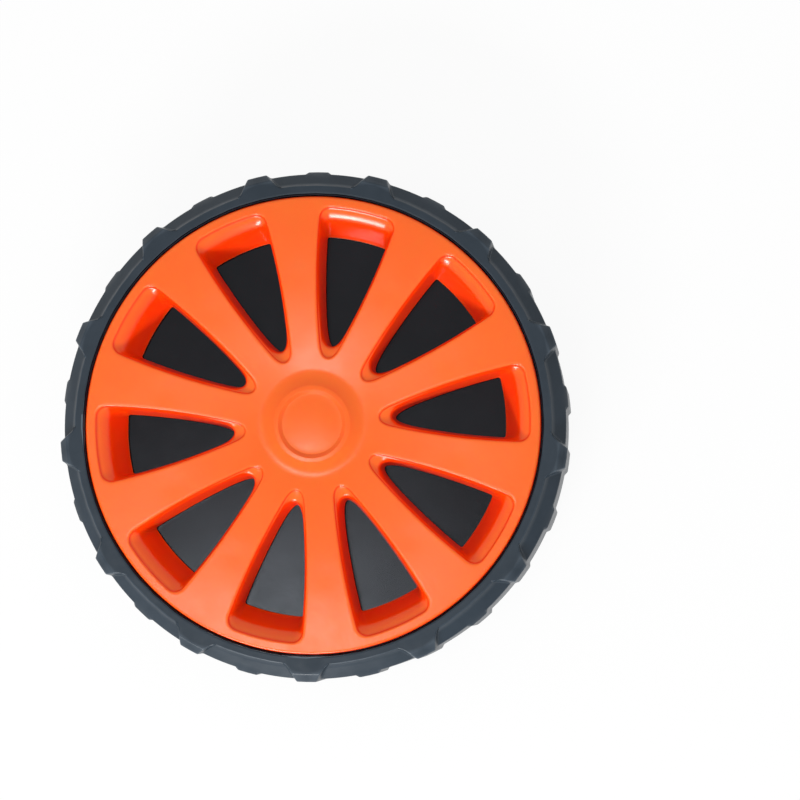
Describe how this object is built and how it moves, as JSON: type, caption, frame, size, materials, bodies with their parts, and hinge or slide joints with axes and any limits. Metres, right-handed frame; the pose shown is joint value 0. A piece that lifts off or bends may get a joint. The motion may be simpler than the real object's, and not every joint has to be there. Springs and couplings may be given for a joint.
{
  "type": "scarifier wheel",
  "caption": "Spoked running wheel with a lugged rubber tyre, a moulded core, a clipped-in cover with deep windows, and flanged ball bearings in its hub.",
  "frame": {"origin": "on the axle's axis, in the plane of the tyre's rear sidewall, on which the wheel lies", "axes": "+Z along the axle towards the cover; +X and +Y across the wheel, as the picture shows right and up"},
  "size_m": [0.1998, 0.2002, 0.045],
  "materials": {
    "tyre_rubber": "satin slate-grey rubber",
    "core_plastic": "finely textured black",
    "cover_plastic": "satin-gloss orange",
    "bearing_steel": "zinc-plated stamped steel"
  },
  "bodies": {
    "wheel": {"tyre": "tyre_rubber", "wheel_core": "core_plastic", "wheel_cover": "cover_plastic", "front_bearing_shell": "bearing_steel", "rear_bearing_shell": "bearing_steel"},
    "front_inner_ring": {"front_bearing_inner_ring": "bearing_steel"},
    "rear_inner_ring": {"rear_bearing_inner_ring": "bearing_steel"}
  },
  "joints": [
    {"name": "front_bearing_spin", "type": "hinge", "parent": "wheel", "child": "front_inner_ring", "pos_m": [0, 0, 0.0272], "axis": [0, 0, 1], "continuous": true},
    {"name": "rear_bearing_spin", "type": "hinge", "parent": "wheel", "child": "rear_inner_ring", "pos_m": [0, 0, 0.0043], "axis": [0, 0, 1], "continuous": true}
  ]
}
